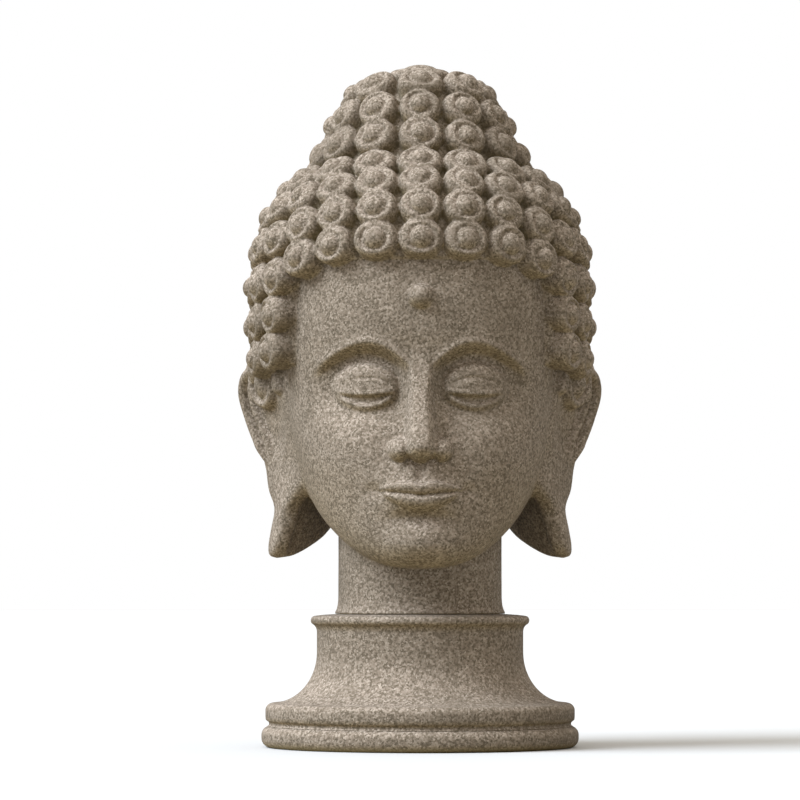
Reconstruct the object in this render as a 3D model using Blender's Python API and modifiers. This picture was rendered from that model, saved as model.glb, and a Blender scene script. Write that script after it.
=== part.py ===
"""Stone buddha head with knobbed curls and long ear lobes, on a turned socle.

Metres, +Z up. The origin is at the centre of the socle's underside and the face looks along -Y.
The head is a free form: its carving is given in carver's units, of which the neck's foot to the crown
has 338.7, so it keeps its proportions when HEAD_HEIGHT changes. Heights of the carving count from the
neck's foot.
"""

import math

import bmesh
import bpy
import numpy as np

# Driving sizes of the socle
SOCLE_HEIGHT = 0.0813
FOOT_RADIUS = 0.0973
FOOT_HEIGHT = 0.0141
FOOT_ROUNDING = 0.0055
STEP_RADIUS = 0.0949
STEP_TOP = 0.0270
STEP_ROUNDING = 0.0040
GROOVE_RADIUS = 0.0925
GROOVE_HALF_HEIGHT = 0.0010
THROAT_RADIUS = 0.0634
THROAT_BOTTOM = 0.0580
THROAT_TOP = 0.0690
LIP_RADIUS = 0.0672
LIP_THICKNESS = 0.0052
LIP_SLOPE = 0.0012
SEAT_MARGIN = 0.0012
SOCLE_SIDES = 42
NECK_SIDES = 64

# Driving sizes of the head
HEAD_HEIGHT = 0.3387
NECK_RADIUS = 0.0502
NECK_FLARE = 0.0023
FLARE_HEIGHT = 0.0106
JOINT_GAP = 0.0003
UNITS_TALL = 338.7
UNIT = HEAD_HEIGHT / UNITS_TALL
NECK_FOOT = SOCLE_HEIGHT + JOINT_GAP

# Curls, in carver's units: bosses that bulge at the shoulder, each as high as its button's top
CURL_RADIUS = 14.0
TOP_CURL_RADIUS = 20.0
CURL_STEP = 25.6
LEAST_CURL = 11.4
CURL_ROOT = -6.0
SHOULDER = 3.6
BUTTON_TOP = 12.8
RING_DROP = 0.1875
BACK_RINGS = (319.0, 104.0)
TEMPLE_DIP = 8.5

# The face, in carver's units: eyes one eye's width apart, a mouth a little wider than the nose
EYE_PLACE = 32.5
EYE_WIDTH = 33.0
LIP_HALF = 26.0
URNA_HEIGHT = 189.0
URNA_RADIUS = 7.5

# Fineness of the faceted solid, and how far its loose forms reach into each other
VOXEL = HEAD_HEIGHT / 170
KEPT_SHARE = 0.0380
FACE_FINENESS = 200
EAR_FINENESS = 96
NECK_REACH = 100 * UNIT
NECK_OVERCUT = 4 * VOXEL
CUTTER_WIDTH = 6 * NECK_RADIUS
CUTTER_DEPTH = 20 * VOXEL

# Level sections of the skull and face: height, half width, front, middle and back
FACE_SECTIONS = [
    (27.0, 0.0, -78.0, -78.0, -78.0),
    (28.5, 17.0, -91.0, -74.0, -58.0),
    (32.5, 29.0, -96.5, -68.0, -36.0),
    (39.0, 40.0, -99.5, -56.0, -12.0),
    (48.0, 50.5, -100.0, -40.0, 8.0),
    (60.0, 60.5, -99.5, -24.0, 26.0),
    (76.0, 69.5, -99.0, -12.0, 42.0),
    (94.0, 76.0, -97.0, -4.0, 56.0),
    (112.0, 80.0, -93.0, 0.0, 68.0),
    (130.0, 82.0, -91.0, 2.0, 78.0),
    (148.0, 83.0, -92.0, 2.0, 86.0),
    (168.0, 84.0, -94.5, 2.0, 92.0),
    (190.0, 84.0, -94.5, 2.0, 94.0),
    (212.0, 83.0, -91.5, 2.0, 92.0),
    (232.0, 79.0, -84.0, 2.0, 86.0),
    (252.0, 70.0, -73.0, 2.0, 75.0),
    (270.0, 50.0, -50.0, 2.0, 54.0),
    (280.0, 0.0, 2.0, 2.0, 2.0),
]

# Level sections of the scalp that the curls sit on
SCALP_SECTIONS = [
    (82.0, 0.0, 12.0, 12.0, 12.0),
    (84.0, 58.0, -28.0, 12.0, 58.0),
    (98.0, 78.0, -62.0, 11.0, 74.0),
    (122.0, 90.0, -76.0, 10.0, 88.0),
    (148.0, 95.5, -84.5, 8.0, 97.0),
    (172.0, 96.5, -89.5, 6.0, 101.5),
    (200.0, 96.5, -93.0, 5.0, 102.5),
    (222.0, 94.0, -93.0, 4.0, 99.5),
    (241.5, 87.0, -87.0, 3.0, 91.5),
    (256.0, 77.0, -76.0, 2.0, 81.0),
    (267.0, 66.5, -64.5, 2.0, 69.5),
    (277.0, 58.0, -55.0, 2.0, 60.0),
    (290.0, 51.0, -48.5, 2.0, 53.0),
    (303.0, 45.5, -42.0, 2.0, 48.0),
    (315.0, 37.5, -34.0, 2.0, 41.5),
    (322.5, 27.5, -23.5, 2.0, 31.0),
    (326.5, 0.0, 2.0, 2.0, 2.0),
]

# Rings of curls: height at the front, and the bearing from the front where the ring begins
CURL_RINGS = [
    (325.9, 180.0),
    (320.0, 0.0),
    (305.3, 0.0),
    (287.3, 0.0),
    (268.0, 0.0),
    (255.5, 0.0),
    (240.6, 0.0),
    (222.7, 0.0),
    (203.0, 61.0),
    (184.0, 63.0),
    (165.0, 104.0),
]
HAIRLINE = 212.0
TEMPLE_BEARING = 52.0

# Level sections of the ear's plate: height, front edge across and back, rear edge across and back,
# and half thickness; the front edge lies inside the cheek
EAR_SECTIONS = [
    (34.0, 87.0, -4.0, 88.0, 2.0, 0.0),
    (36.0, 86.0, -9.0, 89.0, 6.0, 4.6),
    (42.0, 84.0, -13.0, 89.0, 9.0, 6.0),
    (52.0, 81.5, -15.0, 87.0, 12.0, 6.6),
    (64.0, 78.0, -17.0, 84.5, 14.0, 7.4),
    (76.0, 70.0, -26.0, 90.3, 17.0, 7.0),
    (90.0, 66.0, -31.0, 93.4, 20.0, 6.0),
    (104.0, 69.0, -31.0, 97.4, 24.0, 5.4),
    (120.0, 72.0, -29.0, 103.5, 27.0, 5.0),
    (136.0, 74.0, -27.0, 108.0, 28.0, 5.0),
    (148.0, 77.0, -20.0, 106.0, 24.0, 4.6),
    (154.0, 83.0, -6.0, 99.0, 17.0, 3.0),
    (156.0, 91.0, 5.0, 92.0, 7.0, 0.0),
]

# Level sections of the stone left between lobe and nape, in the same terms
WEB_SECTIONS = [
    (34.4, 87.0, -4.0, 85.0, 0.0, 0.0),
    (36.0, 86.5, -5.0, 80.0, 7.0, 4.0),
    (41.0, 85.0, -6.0, 71.0, 20.0, 5.0),
    (49.0, 83.0, -7.0, 61.0, 31.0, 5.8),
    (60.0, 80.0, -9.0, 54.0, 37.0, 6.4),
    (74.0, 79.0, -12.0, 52.0, 38.0, 7.0),
    (88.0, 77.0, -10.0, 56.0, 36.0, 6.0),
    (98.0, 74.0, -4.0, 62.0, 28.0, 0.0),
]

# Ridges of the ear as paths of places along the plate from its middle, and heights
EAR_RIM = [
    (-17, 138), (-14, 148), (-3, 153), (12, 152.5), (25, 147), (30.5, 134), (29.5, 118),
    (26, 104), (22, 92),
]
EAR_FOLD = [(16.5, 147), (20, 136), (18.5, 121), (14.5, 107), (12.5, 90)]
EAR_LOOP = [(-8, 146), (-8, 138), (-4.5, 131.5), (3, 128.5), (10.5, 130.5), (15, 136), (17, 144)]
EAR_PEA = (2.0, 141.5, 8.0, 11.5)


def flowing(rows, places):
    """A smooth curve through the rows, read at places that count rows from 0."""
    rows = np.array(rows, dtype=float)
    before = 2 * rows[0] - rows[1]
    after = 2 * rows[-1] - rows[-2]
    padded = np.vstack([before, rows, after])
    index = np.clip(places.astype(int), 0, len(rows) - 2)
    t = (places - index)[:, None]
    a, b, c, d = (padded[index + k] for k in range(4))
    return 0.5 * (2 * b + (c - a) * t + (2 * a - 5 * b + 4 * c - d) * t**2 + (3 * b - a - 3 * c + d) * t**3)


def bump(values, centre, reach):
    """1 at the centre, falling smoothly to 0 at the reach."""
    t = np.clip(np.abs(values - centre) / reach, 0, 1)
    return (1 - t * t) ** 2


def step(values, low, high):
    """0 below low and 1 above high, with a smooth rise."""
    t = np.clip((values - low) / (high - low), 0, 1)
    return t * t * (3 - 2 * t)


def mound(x, h, centre_x, centre_h, reach_x, reach_h):
    """A round mound in the face's plane, 1 at its centre."""
    t = np.clip(((x - centre_x) / reach_x) ** 2 + ((h - centre_h) / reach_h) ** 2, 0, 1)
    return (1 - t) ** 2


def ball(x, h, centre_x, centre_h, reach_x, reach_h):
    """The height of half an ellipsoid in the face's plane, 1 at its centre."""
    t = np.clip(((x - centre_x) / reach_x) ** 2 + ((h - centre_h) / reach_h) ** 2, 0, 1)
    return np.sqrt(1 - t)


def dome(x, h, centre_x, centre_h, reach_x, reach_h, height):
    """A round dome that goes on down steeply past its foot, to be set on a surface."""
    spread = ((x - centre_x) / reach_x) ** 2 + ((h - centre_h) / reach_h) ** 2
    return np.where(spread < 1, height * np.sqrt(np.clip(1 - spread, 0, 1)), 30 * (1 - np.sqrt(spread)))


def higher(a, b, blend):
    """The higher of two surfaces, with a rounded crease between them."""
    k = np.clip(0.5 + 0.5 * (a - b) / blend, 0, 1)
    return b + (a - b) * k + blend * k * (1 - k)


def eye_relief(side, h):
    """Hollow below the brow, lidded eyeball with downcast lids, and the brow's fine ridge."""
    along = np.clip((side - 5) / 57, 0, 1)
    brow = 145 + 3 * along + 15 * np.sin(math.pi * along**0.9)
    reach = step(side, 6, 17) * step(68 - side, 0, 20)
    relief = -9.0 * step(brow - h, 0.3, 6.5) * step(h, 104, 140) * reach
    relief += 1.4 * bump(h, brow + 1.0, 3.2) * step(side, 4, 10) * step(66 - side, 0, 10)
    spread = ((side - EYE_PLACE) / 20.5) ** 2 + ((h - 134.5) / 15.5) ** 2
    globe = np.where(spread < 1, -8.0 + 9.2 * np.sqrt(np.clip(1 - spread, 0, 1)), -8 - 14 * (spread - 1))
    relief = higher(relief, globe, 2.4)
    t = (side - EYE_PLACE) / (EYE_WIDTH / 2)
    inside = np.clip(1 - t * t, 0, 1)
    upper = 129.8 + 1.6 * t * t
    lower = upper - 5.2 * inside
    opening = step(upper - h, -0.2, 0.7) * step(h - lower, -0.2, 0.9) * step(inside, 0, 0.2)
    relief -= 2.4 * opening
    relief += 1.3 * bump(h, upper + 1.5, 2.2) * step(1.12 - np.abs(t), 0, 0.2)
    relief += 1.1 * bump(h, lower - 1.6, 2.6) * step(inside, 0, 0.25)
    relief -= 1.2 * bump(h, upper + 1.8 + 9.2 * inside**0.6, 1.6) * step(inside, 0.02, 0.3)
    return relief


def nose_relief(side, h):
    """Straight bridge, round tip, wings and nostrils, falling away below the face all round."""
    heights = [84, 90.5, 92, 94.5, 98, 103, 115, 130, 146, 156, 170]
    bridge = np.interp(h, heights, [-12, 0, 9, 16, 19.2, 19, 15.5, 10, 3, 0, -8])
    crest = np.interp(h, [95, 110, 130, 150], [4.2, 3.8, 3.0, 4.4])
    foot = np.interp(h, [92, 100, 115, 132, 150], [14.5, 15.5, 14.0, 12.5, 14.5])
    relief = bridge - (np.maximum(bridge, 0) + 10) * step(side, crest, foot)
    relief -= 20 * step(side, foot, foot + 12)
    relief = higher(relief, dome(side, h, 0, 99.5, 9.8, 9.4, 20.8), 1.6)
    relief = higher(relief, dome(side, h, 12.2, 97.6, 7.4, 7.2, 12.4), 1.2)
    relief -= 6.0 * mound(side, h, 7.0, 91.6, 5.0, 3.4)
    return relief


def mouth_relief(side, h):
    """Closed lips with a faint upward turn, the philtrum, and the hollow over the chin."""
    line = 71.0 + 2.0 * (side / 26) ** 2 - 0.9 * np.exp(-((side / 6) ** 2))
    width = np.clip(1 - (side / LIP_HALF) ** 2, 0, 1)
    top = line + 8.8 * width**0.75 - 1.6 * np.exp(-((side / 3.0) ** 2)) + 0.001
    bottom = line - 9.2 * np.clip(1 - (side / (LIP_HALF - 3)) ** 2, 0, 1) ** 0.75 - 0.001
    upper_share = np.clip((h - line) / (top - line), 0, 1)
    lower_share = np.clip((line - h) / (line - bottom), 0, 1)
    upper = 5.2 * step(1 - upper_share, 0, 0.22) * (h >= line)
    upper *= 0.45 + 0.55 * step(upper_share, -0.4, 0.8)
    lower = 5.6 * np.sqrt(np.clip(1 - ((lower_share - 0.40) / 0.60) ** 2, 0, 1)) * (h < line)
    relief = (upper + lower) * width**0.4
    relief -= 2.8 * bump(h, line, 1.7) * step(LIP_HALF + 2 - side, 0, 4)
    relief -= 2.0 * mound(side, h, 27.5, 72.5, 8.5, 7.5)
    relief -= 2.0 * bump(side, 0, 4.4) * step(h, 78.5, 81.5) * step(91 - h, 0, 3)
    relief += 0.9 * bump(side, 5.2, 3.4) * step(h, 78.5, 82.5) * step(91 - h, 0, 4)
    relief += 5.5 * mound(side, h, 0, 73, 40, 27)
    relief -= 4.5 * mound(side, h, 0, 57.0, 24, 8.5)
    return relief


def face_relief(x, h):
    """How far the face stands in front of its plain oval, by the canon of thirds and fifths."""
    side = np.abs(x)
    relief = eye_relief(side, h)
    relief += mouth_relief(side, h)
    relief += 4.5 * mound(side, h, 0, 42, 27, 17)
    relief += 3.6 * mound(side, h, 43, 101, 32, 34)
    relief = higher(relief, nose_relief(side, h), 1.6)
    return higher(relief, dome(side, h, 0, URNA_HEIGHT, URNA_RADIUS, URNA_RADIUS, 7.4), 0.3)


def section_place(sections, unit, squareness):
    """Points of a form made of level sections, for points of a unit sphere."""
    rows = (len(sections) - 1) * np.arccos(np.clip(-unit[:, 2], -1, 1)) / math.pi
    h, half, front, middle, back = flowing(sections, rows).T
    round_length = np.maximum(np.hypot(unit[:, 0], unit[:, 1]), 1e-9)
    across = unit[:, 0] / round_length
    along = unit[:, 1] / round_length
    x = half * np.sign(across) * np.abs(across) ** (2 / squareness)
    depth = np.where(along < 0, middle - front, back - middle)
    y = middle + depth * np.sign(along) * np.abs(along) ** (2 / squareness)
    return np.column_stack([x, y, h])


def face_place(unit):
    """The skull and face."""
    points = section_place(FACE_SECTIONS, unit, 2.25)
    x, y, h = points.T
    points[:, 1] -= face_relief(x, h) * step(-y, 15, 55)
    return points


def scalp_place(unit):
    """The scalp, drawn in under the skin where the face is bare."""
    points = section_place(SCALP_SECTIONS, unit, 2.0)
    bearing = np.degrees(np.arctan2(np.abs(unit[:, 0]), -unit[:, 1]))
    bare = step(HAIRLINE - points[:, 2], 0, 6) * step(TEMPLE_BEARING - bearing, -4, 4)
    behind_ear = 82 + 70 * step(118 - bearing, 0, 26)
    bare = np.maximum(bare, step(behind_ear - points[:, 2], 0, 6))
    points[:, :2] *= (1 - 0.22 * bare)[:, None]
    return points


def plate_place(sections, unit, relief):
    """An upright plate made of level sections, with a relief on its outer face."""
    rows = (len(sections) - 1) * np.arccos(np.clip(-unit[:, 2], -1, 1)) / math.pi
    h, front_x, front_y, rear_x, rear_y, thickness = flowing(sections, rows).T
    length = np.maximum(np.hypot(rear_x - front_x, rear_y - front_y), 0.01)
    back_x = (rear_x - front_x) / length
    back_y = (rear_y - front_y) / length
    round_length = np.maximum(np.hypot(unit[:, 0], unit[:, 1]), 1e-9)
    across = unit[:, 0] / round_length
    along = unit[:, 1] / round_length
    across = np.sign(across) * np.abs(across) ** 0.6
    place = length / 2 * np.sign(along) * np.abs(along) ** 0.8
    offset = np.maximum(thickness, 0) * across
    offset += relief(place, h) * step(across, 0.1, 0.6)
    x = (front_x + rear_x) / 2 + place * back_x + offset * back_y
    y = (front_y + rear_y) / 2 + place * back_y - offset * back_x
    return np.column_stack([x, y, h])


def path_distance(place, h, path):
    """Distance from points of the ear's plane to a smooth path."""
    points = flowing(path, np.linspace(0, len(path) - 1, 60))
    nearest = np.full(len(h), 1e9)
    for point in points:
        nearest = np.minimum(nearest, np.hypot(place - point[0], h - point[1]))
    return nearest


def ear_relief(place, h):
    """The ear's shell: a hollow inside a rolled rim, with a fold, and a pea in a loop."""
    relief = -5.0 * mound(place, h, 7, 124, 26, 30) ** 0.5
    relief -= 2.0 * mound(place, h, 6, 119, 9, 12)
    for path, reach, height in (
        (EAR_RIM, 4.6, 4.4),
        (EAR_FOLD, 3.4, 1.4),
        (EAR_LOOP, 3.0, 2.4),
    ):
        reach = reach * (0.45 + 0.55 * step(h, 84, 112))
        distance = path_distance(place, h, path)
        ridge = height * step(h, 88, 104) + 5.0 * (np.sqrt(np.clip(1 - (distance / reach) ** 2, 0, 1)) - 1)
        relief = np.where(distance < reach, np.maximum(relief, ridge), relief)
    pea = 9.0 * ball(place, h, *EAR_PEA) - 3.6
    return np.maximum(relief, pea)


def no_relief(place, h):
    """A plain face."""
    return 0 * h


def ear_place(unit):
    """The ear on the +X side."""
    return plate_place(EAR_SECTIONS, unit, ear_relief)


def web_place(unit):
    """The stone between lobe and nape on the +X side."""
    return plate_place(WEB_SECTIONS, unit, no_relief)


SCALP_TABLE = flowing(SCALP_SECTIONS, np.linspace(0, len(SCALP_SECTIONS) - 1, 400))


def scalp_point(bearing, height):
    """A point of the scalp at a bearing in radians from the front, and at a height."""
    half, front, middle, back = (
        np.interp(height, SCALP_TABLE[:, 0], SCALP_TABLE[:, k]) for k in range(1, 5)
    )
    depth = np.where(np.cos(bearing) > 0, middle - front, back - middle)
    return np.array([half * np.sin(bearing), middle - depth * np.cos(bearing), height])


def back_heights():
    """The rings' heights at the back of the scalp, where they are evenly spaced."""
    down = np.linspace(*BACK_RINGS, 200)
    depth = np.interp(down, SCALP_TABLE[:, 0], SCALP_TABLE[:, 4])
    lengths = np.concatenate([[0], np.cumsum(np.hypot(np.diff(down), np.diff(depth)))])
    return np.interp(np.linspace(0, lengths[-1], len(CURL_RINGS) - 1), lengths, down)


FRONT_TO_BACK = (np.array([height for height, first in CURL_RINGS[:0:-1]]), back_heights()[::-1])


def ring_height(front_height, bearing):
    """The height of a ring of curls, which sinks towards the back and dips around the temple."""
    sunk = (UNITS_TALL - front_height) * (1 + RING_DROP * (1 - math.cos(bearing)))
    turn = math.degrees(bearing)
    dip = TEMPLE_DIP * step(turn, 38, 58) * step(96 - turn, 0, 34) * step(262 - front_height, 0, 38)
    height = UNITS_TALL - sunk - dip
    return height + (np.interp(front_height, *FRONT_TO_BACK) - height) * step(turn, 85, 165)


def ring_point(front_height, bearing):
    """A point on a ring of curls."""
    return scalp_point(bearing, ring_height(front_height, bearing))


def outward(front_height, bearing):
    """The scalp's outward normal on a ring of curls."""
    nudge = 0.02
    along = ring_point(front_height, bearing + nudge) - ring_point(front_height, bearing - nudge)
    height = ring_height(front_height, bearing)
    up = scalp_point(bearing, height + 1) - scalp_point(bearing, height - 1)
    normal = np.cross(along, up)
    return normal / np.linalg.norm(normal)


def ring_gap(row, bearing):
    """Half the distance from a ring of curls to the rings beside it, at a bearing."""
    heights = [height for height, first in CURL_RINGS]
    here = ring_point(heights[row], bearing)
    gaps = []
    for other in (row - 1, row + 1):
        if 0 < other < len(heights):
            gaps.append(np.linalg.norm(ring_point(heights[other], bearing) - here))
    return min(max(sum(gaps) / len(gaps) / 2, LEAST_CURL), CURL_RADIUS * 1.1)


def curl_places():
    """Centre, outward direction and half sizes, along and up the ring, of each curl."""
    crown = np.array([0.0, 2.0, CURL_RINGS[0][0]])
    places = [(crown, np.array([0.0, 0.0, 1.0]), TOP_CURL_RADIUS, TOP_CURL_RADIUS)]
    for row, (front_height, first_bearing) in enumerate(CURL_RINGS[1:], start=1):
        bearings = np.linspace(math.radians(first_bearing), math.pi, 200)
        points = np.array([ring_point(front_height, b) for b in bearings])
        lengths = np.concatenate([[0], np.cumsum(np.linalg.norm(np.diff(points, axis=0), axis=1))])
        steps = max(2, round(lengths[-1] / CURL_STEP))
        for place in np.linspace(0, lengths[-1], steps + 1):
            bearing = float(np.interp(place, lengths, bearings))
            centre = ring_point(front_height, bearing)
            normal = outward(front_height, bearing)
            reaches = (lengths[-1] / steps / 2, ring_gap(row, bearing))
            places.append((centre, normal, *reaches))
            if abs(centre[0]) > 1:
                mirror = np.array([-1.0, 1.0, 1.0])
                places.append((centre * mirror, normal * mirror, *reaches))
    return places


def to_metres(points):
    """Carver's units above the neck's foot to metres above the ground."""
    return points * UNIT + np.array([0.0, 0.0, NECK_FOOT])


def moved_sphere(segments, rings, place):
    """A UV sphere whose points are moved by a function of their directions."""
    bm = bmesh.new()
    bmesh.ops.create_uvsphere(bm, u_segments=segments, v_segments=rings, radius=1)
    unit = np.array([v.co[:] for v in bm.verts])
    for vert, point in zip(bm.verts, to_metres(place(unit)), strict=True):
        vert.co = point
    bmesh.ops.recalc_face_normals(bm, faces=bm.faces)
    mesh = bpy.data.meshes.new("form")
    bm.to_mesh(mesh)
    bm.free()
    return mesh


def mirrored(place):
    """The same form on the -X side."""
    return lambda unit: place(unit) * np.array([-1.0, 1.0, 1.0])


def add_boss(bm, centre, normal, reach_x, reach_y):
    """A ball drawn out along the scalp's normal, widest at its shoulder."""
    made = bmesh.ops.create_icosphere(bm, subdivisions=2, radius=1)
    side = np.cross([0.0, 0.3, 1.0], normal)
    side /= np.linalg.norm(side)
    other = np.cross(normal, side)
    for vert in made["verts"]:
        a, b, c = vert.co
        out = SHOULDER + c * ((BUTTON_TOP - SHOULDER) if c > 0 else (SHOULDER - CURL_ROOT))
        vert.co = to_metres(centre + reach_x * a * side + reach_y * b * other + out * normal)


def curls_mesh():
    """Every curl as a fat round boss."""
    bm = bmesh.new()
    for centre, normal, reach_x, reach_y in curl_places():
        add_boss(bm, centre, normal, reach_x, reach_y)
    mesh = bpy.data.meshes.new("curls")
    bm.to_mesh(mesh)
    bm.free()
    return mesh


def turned_mesh(name, profile, sides):
    """A profile turned about Z with a Screw modifier, as a mesh of its own."""
    mesh = bpy.data.meshes.new(name)
    mesh.from_pydata([(r, 0, z) for r, z in profile], [(k, k + 1) for k in range(len(profile) - 1)], [])
    turned = bpy.data.objects.new(name, mesh)
    screw = turned.modifiers.new("turn", "SCREW")
    screw.steps = sides
    screw.render_steps = sides
    screw.use_merge_vertices = True
    screw.merge_threshold = 0.00001
    return turned


def arc(centre_r, centre_z, reach_r, reach_z, start, end, count):
    """Points of an elliptic arc of a profile, its angles in degrees from +R."""
    angles = np.radians(np.linspace(start, end, count))
    return [(centre_r + reach_r * math.cos(a), centre_z + reach_z * math.sin(a)) for a in angles]


def socle_profile():
    """The socle's outline from the centre of its top to the centre of its underside."""
    seat = NECK_RADIUS + NECK_FLARE + SEAT_MARGIN
    lip_round = LIP_THICKNESS / 2
    lip_z = SOCLE_HEIGHT - LIP_SLOPE - lip_round
    groove_top = FOOT_HEIGHT + GROOVE_HALF_HEIGHT
    groove_bottom = FOOT_HEIGHT - GROOVE_HALF_HEIGHT
    hollow = STEP_RADIUS - STEP_ROUNDING - THROAT_RADIUS
    points = [(0, SOCLE_HEIGHT), (seat, SOCLE_HEIGHT)]
    points += arc(LIP_RADIUS - lip_round, lip_z, lip_round, lip_round, 80, -80, 4)
    points += [(THROAT_RADIUS, THROAT_TOP)]
    points += arc(THROAT_RADIUS + hollow, THROAT_BOTTOM, hollow, THROAT_BOTTOM - STEP_TOP, 180, 268, 6)
    across, up = STEP_RADIUS - STEP_ROUNDING, STEP_TOP - STEP_ROUNDING
    points += arc(across, up, STEP_ROUNDING, STEP_ROUNDING, 85, 0, 3)
    points += [(STEP_RADIUS, groove_top + GROOVE_HALF_HEIGHT), (GROOVE_RADIUS, FOOT_HEIGHT)]
    across, up = FOOT_RADIUS - FOOT_ROUNDING, groove_bottom - FOOT_ROUNDING
    points += arc(across, up, FOOT_ROUNDING, FOOT_ROUNDING, 80, 0, 3)
    points += arc(FOOT_RADIUS - FOOT_ROUNDING, FOOT_ROUNDING, FOOT_ROUNDING, FOOT_ROUNDING, 0, -90, 3)
    points += [(0, 0)]
    return points


def neck_profile():
    """The neck's outline, from inside the head to below its foot, where it is cut flat."""
    foot = NECK_RADIUS + NECK_FLARE
    points = [(0, NECK_FOOT + NECK_REACH), (NECK_RADIUS, NECK_FOOT + NECK_REACH)]
    points += arc(foot, NECK_FOOT + FLARE_HEIGHT, NECK_FLARE, FLARE_HEIGHT, 180, 270, 7)
    return points + [(foot, NECK_FOOT - NECK_OVERCUT), (0, NECK_FOOT - NECK_OVERCUT)]


def stone(name, colour):
    """Matt stone of one colour."""
    material = bpy.data.materials.new(name)
    material.use_nodes = True
    shader = material.node_tree.nodes["Principled BSDF"]
    shader.inputs["Base Color"].default_value = (*colour, 1)
    shader.inputs["Roughness"].default_value = 0.9
    shader.inputs["Metallic"].default_value = 0.0
    return material


def make_socle(collection, material):
    """The turned stand."""
    socle = turned_mesh("socle", socle_profile(), SOCLE_SIDES)
    socle.data.materials.append(material)
    collection.objects.link(socle)
    return socle


def make_head(collection, cutters, material):
    """Skull, face, hair, ears and neck, grown together into one solid and cut flat at the foot."""
    neck = turned_mesh("neck_form", neck_profile(), NECK_SIDES)
    bpy.context.scene.collection.objects.link(neck)
    neck_mesh = bpy.data.meshes.new_from_object(neck.evaluated_get(bpy.context.evaluated_depsgraph_get()))
    bpy.data.objects.remove(neck)
    meshes = [
        neck_mesh,
        moved_sphere(FACE_FINENESS, FACE_FINENESS, face_place),
        moved_sphere(FACE_FINENESS, FACE_FINENESS, scalp_place),
        curls_mesh(),
    ]
    for place in (ear_place, mirrored(ear_place), web_place, mirrored(web_place)):
        meshes.append(moved_sphere(EAR_FINENESS, EAR_FINENESS, place))
    bm = bmesh.new()
    for mesh in meshes:
        bm.from_mesh(mesh)
        bpy.data.meshes.remove(mesh)
    whole = bpy.data.meshes.new("buddha_head")
    bm.to_mesh(whole)
    bm.free()
    head = bpy.data.objects.new("buddha_head", whole)
    head.data.materials.append(material)
    collection.objects.link(head)
    remesh = head.modifiers.new("grow_together", "REMESH")
    remesh.mode = "VOXEL"
    remesh.voxel_size = VOXEL
    soften = head.modifiers.new("soften", "SMOOTH")
    soften.factor = 0.5
    soften.iterations = 2
    thin = head.modifiers.new("fewer_facets", "DECIMATE")
    thin.ratio = KEPT_SHARE
    thin.use_symmetry = True
    cut = head.modifiers.new("flat_foot", "BOOLEAN")
    cut.operation = "DIFFERENCE"
    cut.object = make_foot_cutter(cutters)
    return head


def make_foot_cutter(cutters):
    """A block whose top lies a gap above the socle, to cut the neck off flat."""
    bm = bmesh.new()
    bmesh.ops.create_cube(bm, size=1)
    for vert in bm.verts:
        vert.co.x *= CUTTER_WIDTH
        vert.co.y *= CUTTER_WIDTH
        vert.co.z = NECK_FOOT + (vert.co.z - 0.5) * CUTTER_DEPTH
    mesh = bpy.data.meshes.new("foot_cutter")
    bm.to_mesh(mesh)
    bm.free()
    cutter = bpy.data.objects.new("foot_cutter", mesh)
    cutter.hide_render = True
    cutter.display_type = "WIRE"
    cutters.objects.link(cutter)
    return cutter


def main():
    for old in list(bpy.data.objects):
        bpy.data.objects.remove(old)
    parts = bpy.data.collections.new("stone_buddha_head")
    cutters = bpy.data.collections.new("cutters")
    bpy.context.scene.collection.children.link(parts)
    bpy.context.scene.collection.children.link(cutters)
    make_socle(parts, stone("socle_stone", (0.34, 0.27, 0.20)))
    make_head(parts, cutters, stone("head_stone", (0.34, 0.27, 0.20)))


main()
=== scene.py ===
"""Looks of the stone buddha head: the carved head and the turned socle as fine meshes of grainy stone.

The carving is given in carver's units, of which the neck's foot to the crown has 338.7, with heights
counted from the neck's foot. A unit is a millimetre, and the foot's height comes from the frame.
"""

import math

import bmesh
import bpy
import numpy as np
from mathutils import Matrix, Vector


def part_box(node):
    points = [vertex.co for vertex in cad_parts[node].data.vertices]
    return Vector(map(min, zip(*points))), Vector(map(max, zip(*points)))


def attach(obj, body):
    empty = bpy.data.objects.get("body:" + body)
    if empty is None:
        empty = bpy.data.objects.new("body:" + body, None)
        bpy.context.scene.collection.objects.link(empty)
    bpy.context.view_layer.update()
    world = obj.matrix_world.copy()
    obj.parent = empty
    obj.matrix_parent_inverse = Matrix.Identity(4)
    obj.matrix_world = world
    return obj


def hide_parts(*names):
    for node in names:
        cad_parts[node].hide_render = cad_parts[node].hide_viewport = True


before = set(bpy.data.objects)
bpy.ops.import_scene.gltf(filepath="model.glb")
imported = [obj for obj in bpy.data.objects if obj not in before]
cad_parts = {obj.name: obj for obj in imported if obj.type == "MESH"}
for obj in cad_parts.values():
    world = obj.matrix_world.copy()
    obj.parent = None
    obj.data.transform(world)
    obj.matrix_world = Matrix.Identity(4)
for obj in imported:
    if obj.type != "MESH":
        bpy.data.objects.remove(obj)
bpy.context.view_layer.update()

# The carver's unit, and the heights of the neck's foot and the socle's top
UNITS_TALL = 338.7
NECK_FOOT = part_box("buddha_head")[0][2]
UNIT = 0.001
SOCLE_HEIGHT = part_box("socle")[1][2]

# Neck and curls, in carver's units
NECK_RADIUS = 50.2
NECK_FLARE = 2.3
CURL_RADIUS = 14.0
TOP_CURL_RADIUS = 20.0
CURL_STEP = 25.6
RING_DROP = 0.1875
BACK_RINGS = (319.0, 104.0)
TEMPLE_DIP = 8.5
LEAST_CURL = 11.4
CURL_ROOT = -5.0
UNDERCUT = 0.06
SHOULDER = 3.6
RING_TOP = 9.2
GROOVE_SHARE = 0.66
GROOVE_WIDTH = 0.7
GROOVE_FLOOR = 6.4
BUTTON_TOP = 12.8
CURL_SQUARENESS = 2.3

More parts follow.
